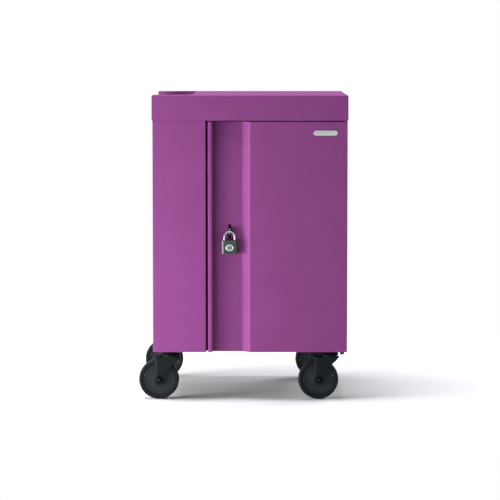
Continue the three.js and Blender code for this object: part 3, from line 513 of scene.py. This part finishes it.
# Under the lower pivot bar: hexagon bolts, and the low head of the door's pivot pin at its rounded end
BOLT = [(0, 3.4, 1), (3.4, 3.4, 1), (4, 3, 1), (4, 0.8, 1), (5.6, 0.8), (5.6, -0.2), (0, -0.2)]
BOLTS_FROM_REAR = (10, 26)
PIN_HEAD = [(0, 2.6), (4.4, 2.6), (5.7, 2.2), (6.4, 1.4), (6.5, 0.6), (6.5, -0.2), (0, -0.2)]
bar_low, bar_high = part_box("hinge_bracket_bottom")
bar_half = (bar_high.x - bar_low.x) / 2
heads = []
for from_rear in BOLTS_FROM_REAR:
    bolt_place = Vector((bar_low.x + bar_half, bar_high.y - from_rear * MM, bar_low.z))
    heads.append(skin("bolt", turned(BOLT, bolt_place, DOWN, steps=48, outline=hexagon)))
pin_place = Vector((bar_low.x + bar_half, bar_low.y + bar_half, bar_low.z))
heads.append(skin("pin_head", turned(PIN_HEAD, pin_place, DOWN, steps=48)))
bolts = new_piece("pivot_bolts", joined("pivot_bolts", heads), phosphated_steel_and_shade, "cart")
shade_by_angle(bolts, BOLT_EDGE)

# Domed rivets along both flanges of the door stiffener
RIVET = [(3.2, -0.2), (3.2, 0.3), (2.8, 0.9), (1.8, 1.3), (1.2, 1.3), (1.1, 0.8), (0, 0.8)]
RIVET_ROWS = (0.03, 0.22, 0.41, 0.59, 0.78, 0.97)
RIVET_INSET = 9
FLANGE_THICKNESS = 2
stiffener_low, stiffener_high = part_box("door_stiffener")
heads = []
for share in RIVET_ROWS:
    z = stiffener_low.z + share * (stiffener_high.z - stiffener_low.z)
    for x in (stiffener_low.x + RIVET_INSET * MM, stiffener_high.x - RIVET_INSET * MM):
        rivet_place = Vector((x, stiffener_low.y + FLANGE_THICKNESS * MM, z))
        heads.append(skin("rivet", turned(RIVET, rivet_place, TO_REAR, steps=24)))
rivets = new_piece("stiffener_rivets", joined("stiffener_rivets", heads), zinc_steel, "door")
shade_by_angle(rivets, TRIM_EDGE)

# Section of the edge trim: distance over the sheet, and distance from the sheet's middle
TRIM = [(-1.5, -2.3), (-1.5, 2.3), (2.6, 2.3), (3, 1.9), (3, 1.15), (0.15, 1.15), (0.15, -1.15), (3, -1.15),
        (3, -1.9), (2.6, -2.3)]


# A frame of U section pushed over the edge of a hole in an upright sheet, along its outline in y and z
def edge_trim(outline, place):
    rows = []
    for i, point in enumerate(outline):
        after = outline[(i + 1) % len(outline)]
        before = outline[i - 1]
        out = Vector((after[1] - before[1], before[0] - after[0])).normalized()
        rows.append([place + Vector((x, point[0] + out.x * over, point[1] + out.y * over)) * MM
                     for over, x in TRIM])
    return rows + rows[:1]


# Black edge trim in the holes of the partition through which the charging leads pass
LEAD_HOLES = 4
LEAD_HOLE_LENGTH = 60
LEAD_HOLE_WIDTH = 24
LEAD_HOLE_SETBACK = 95
LEAD_HOLE_MARGIN = 90
HALF_SHEET = 1
partition_low, partition_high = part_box("partition")
hole_outline = [(-across, along) for along, across in stadium(LEAD_HOLE_LENGTH, LEAD_HOLE_WIDTH)]
first_hole = partition_low.z + LEAD_HOLE_MARGIN * MM
last_hole = partition_high.z - LEAD_HOLE_MARGIN * MM
hole_x = partition_high.x - HALF_SHEET * MM
hole_y = partition_high.y - LEAD_HOLE_SETBACK * MM
trims = []
for i in range(LEAD_HOLES):
    hole_z = first_hole + i / (LEAD_HOLES - 1) * (last_hole - first_hole)
    trims.append(skin("edge_trim", edge_trim(hole_outline, Vector((hole_x, hole_y, hole_z)))))
trim = new_piece("lead_hole_trims", joined("lead_hole_trims", trims), pvc_lead, "cart")
shade_by_angle(trim, TRIM_EDGE)

# Outlet faces in the recesses of the power strip: a grid of lines whose open cells give two upright slots,
# a square one below, and cut corners
ACROSS = [-11.3, -8.5, -7.4, -5.2, -2.3, 2.3, 5.2, 7.4, 8.5, 11.3]
UP = [-14.3, -11.5, -8.5, -4, 0.5, 7.5, 11.5, 14.3]
OPEN_CELLS = {(2, 4), (6, 4), (4, 2), (0, 0), (0, 6), (8, 0), (8, 6)}
OUTLETS = 8
OUTLET_INSET = 1
OUTLET_THICKNESS = 1.6
strip_low, strip_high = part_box("power_strip")
strip_middle = middle("power_strip")
cells = bmesh.new()
for k in range(OUTLETS):
    outlet_z = strip_low.z + (k + 0.5) / OUTLETS * (strip_high.z - strip_low.z)
    outlet_place = Vector((strip_low.x + OUTLET_INSET * MM, strip_middle.y, outlet_z))
    grid = [[cells.verts.new(outlet_place + Vector((0, y, z)) * MM) for z in UP] for y in ACROSS]
    for i in range(len(ACROSS) - 1):
        for j in range(len(UP) - 1):
            if (i, j) not in OPEN_CELLS:
                cells.faces.new((grid[i][j], grid[i][j + 1], grid[i + 1][j + 1], grid[i + 1][j]))
bmesh.ops.delete(cells, geom=[v for v in cells.verts if not v.link_faces], context="VERTS")
outlet_mesh = bpy.data.meshes.new("outlet_faces")
cells.to_mesh(outlet_mesh)
cells.free()
outlets = new_piece("outlet_faces", outlet_mesh, grey_abs, "cart")
thick = outlets.modifiers.new("thickness", "SOLIDIFY")
thick.thickness = OUTLET_THICKNESS * MM
thick.offset = -1

# Plated sleeves on the blades of the power inlet, narrowed at the tip: reach, half width and half height
BLADES = [(-7, 0), (0, 3), (7, 0)]
SLEEVE = [(0, 1.15, 2.15), (12.3, 1.15, 2.15), (13.8, 0.9, 1.5), (14.3, 0.6, 1.2)]
SLEEVE_CORNERS = ((-1, -1), (1, -1), (1, 1), (-1, 1))
INLET_WALL = 3
inlet_inner_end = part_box("power_inlet")[0].y
inlet_middle = middle("power_inlet")
sleeves = []
for x, z in BLADES:
    root = Vector((inlet_middle.x + x * MM, inlet_inner_end + INLET_WALL * MM, inlet_middle.z + z * MM))
    rows = [[root + Vector((a * wide, reach, b * high)) * MM for a, b in SLEEVE_CORNERS]
            for reach, wide, high in SLEEVE]
    rows.append([root + Vector((0, SLEEVE[-1][0], 0)) * MM])
    sleeves.append(skin("sleeve", rows))
new_piece("inlet_blades", joined("inlet_blades", sleeves), nickel_brass, "cart")

# Lead from the inlet's inner end to the foot of the power strip: one smooth curve, a boot at each end.
# It leaves the inlet to the front and enters the strip from below, with the same pull at both ends.
LEAD_RADIUS = 3
LEAD_BEND = 48
LEAD_STEPS = 32
LEAD_SEAT = 0.3
BOOT = [6, 6, 5.4, 5.4, 4.7, 4.7, 4, 3.3]
lead_start = Vector((inlet_middle.x, inlet_inner_end - LEAD_SEAT * MM, inlet_middle.z))
lead_end = Vector((strip_middle.x, strip_middle.y, strip_low.z - LEAD_SEAT * MM))
pulls = [lead_start, lead_start + TO_FRONT * LEAD_BEND * MM, lead_end + DOWN * LEAD_BEND * MM, lead_end]
route = []
for i in range(LEAD_STEPS + 1):
    t = i / LEAD_STEPS
    shares = ((1 - t) ** 3, 3 * t * (1 - t) ** 2, 3 * t * t * (1 - t), t ** 3)
    route.append(sum((share * point for share, point in zip(shares, pulls)), Vector()))
lead_curve = bpy.data.curves.new("lead_cable", "CURVE")
lead_curve.dimensions = "3D"
lead_curve.bevel_depth = LEAD_RADIUS * MM
lead_curve.bevel_resolution = 4
lead_curve.use_fill_caps = True
spline = lead_curve.splines.new("POLY")
spline.points.add(len(route) - 1)
for spline_point, point in zip(spline.points, route):
    spline_point.co = (*point, 1)
spline.use_smooth = True
lead = new_piece("lead_cable", lead_curve, pvc_lead, "cart")
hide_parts("inlet_lead")
boots = []
for points in (route[:len(BOOT)], route[::-1][:len(BOOT)]):
    boots.append(skin("boot", swept(points, BOOT)))
boot = new_piece("lead_boots", joined("lead_boots", boots), black_abs, "cart")
shade_by_angle(boot, BOOT_EDGE)


# 1 where a ray comes from the camera straight, by a mirror or through glass, and 0 for light on the object
def seen_by_camera(tree):
    ray = add(tree, "LightPath")
    direct = add(tree, "Math", {0: ray.outputs["Is Camera Ray"], 1: ray.outputs["Is Glossy Ray"]},
                 operation="MAXIMUM")
    through = add(tree, "Math", {0: direct.outputs["Value"], 1: ray.outputs["Is Transmission Ray"]},
                  operation="MAXIMUM")
    return through.outputs["Value"]


# Floor: pale in its own light, seen as white with the cart's shadow, and plain white further off.
# The fade to plain white is given in metres from the middle of the cart.
FLOOR_HALF = 30
FLOOR_SEEN = 1.58
FLOOR_TINT = (0.97, 1, 1.01)
FADE_FROM = 0.9
FADE_TO = 1.8
floor_material, tree = new_material("studio_floor")
place = add(tree, "TexCoord").outputs["Object"]
far = add(tree, "VectorMath", {0: place}, operation="LENGTH")
fade = add(tree, "MapRange", {"Value": far.outputs["Value"], "From Min": FADE_FROM, "From Max": FADE_TO})
matt = add(tree, "BsdfDiffuse", {"Color": linear("#f0f0f0")})
near = add(tree, "BsdfDiffuse", {"Color": (*(FLOOR_SEEN * share for share in FLOOR_TINT), 1)})
plain = add(tree, "Emission", {"Color": (1, 1, 1, 1), "Strength": 1.0})
shown = add(tree, "MixShader", {"Fac": fade.outputs["Result"], 1: near.outputs["BSDF"],
                                2: plain.outputs["Emission"]})
floor_look = add(tree, "MixShader", {"Fac": seen_by_camera(tree), 1: matt.outputs["BSDF"],
                                     2: shown.outputs["Shader"]})
add(tree, "OutputMaterial", {"Surface": floor_look.outputs["Shader"]})
floor_corners = [(x * FLOOR_HALF, y * FLOOR_HALF, 0) for x, y in ((-1, -1), (1, -1), (1, 1), (-1, 1))]
floor_mesh = bpy.data.meshes.new("floor")
floor_mesh.from_pydata(floor_corners, [], [(0, 1, 2, 3)])
floor = bpy.data.objects.new("floor", floor_mesh)
bpy.context.collection.objects.link(floor)
paint(floor, floor_material)

# World: white where it is seen or mirrored, and a lower even light on the object
AMBIENT = 0.05
world = bpy.data.worlds.new("studio")
bpy.context.scene.world = world
world.use_nodes = True
tree = world.node_tree
tree.nodes.clear()
level = add(tree, "MapRange", {"Value": seen_by_camera(tree), "To Min": AMBIENT, "To Max": 1.0})
sky = add(tree, "Background", {"Color": (1, 1, 1, 1), "Strength": level.outputs["Result"]})
add(tree, "OutputWorld", {"Surface": sky.outputs["Background"]})


def area_light(name, place, target, size, power):
    data = bpy.data.lights.new(name, "AREA")
    data.shape = "RECTANGLE"
    data.size, data.size_y = size
    data.energy = power
    obj = bpy.data.objects.new(name, data)
    obj.location = place
    obj.rotation_euler = (Vector(target) - Vector(place)).to_track_quat("-Z", "Y").to_euler()
    bpy.context.collection.objects.link(obj)


# A low soft light on the left, a wide one overhead, a weak one near the floor in front, and one behind
area_light("left_softbox", place=(-2.0, -0.8, 0.3), target=(0.0, -0.3, 0.4), size=(1.2, 0.35), power=50)
area_light("overhead_softbox", place=(-0.5, -0.25, 3.15), target=(0.0, 0.0, 0.5), size=(2.4, 2.4), power=78)
area_light("floor_softbox", place=(-1.1, -1.4, 0.08), target=(0.0, -0.3, 0.3), size=(0.8, 0.15), power=8)
area_light("rear_softbox", place=(1.9, 1.9, 1.3), target=(0.1, 0.1, 0.5), size=(1.4, 1.4), power=24)

# Camera at the place from which the cart was seen: pixels for the lens, metres for its place, degrees down
IMAGE_SIDE = 500
FOCAL_PIXELS = 2431.4
SENSOR_WIDTH = 36
CAMERA_AWAY = 7.5873
CAMERA_HEIGHT = 1.1547
CAMERA_DOWN = 5.085
SIGHT_END = 100
camera_data = bpy.data.cameras.new("camera")
camera_data.sensor_width = SENSOR_WIDTH
camera_data.lens = FOCAL_PIXELS / IMAGE_SIDE * SENSOR_WIDTH
camera_data.clip_end = SIGHT_END
camera = bpy.data.objects.new("camera", camera_data)
camera.location = (middle("top_cap").x, door_low.y - CAMERA_AWAY, CAMERA_HEIGHT)
camera.rotation_euler = (math.radians(90 - CAMERA_DOWN), 0, 0)
bpy.context.collection.objects.link(camera)
bpy.context.scene.camera = camera
bpy.context.scene.view_settings.view_transform = "Standard"
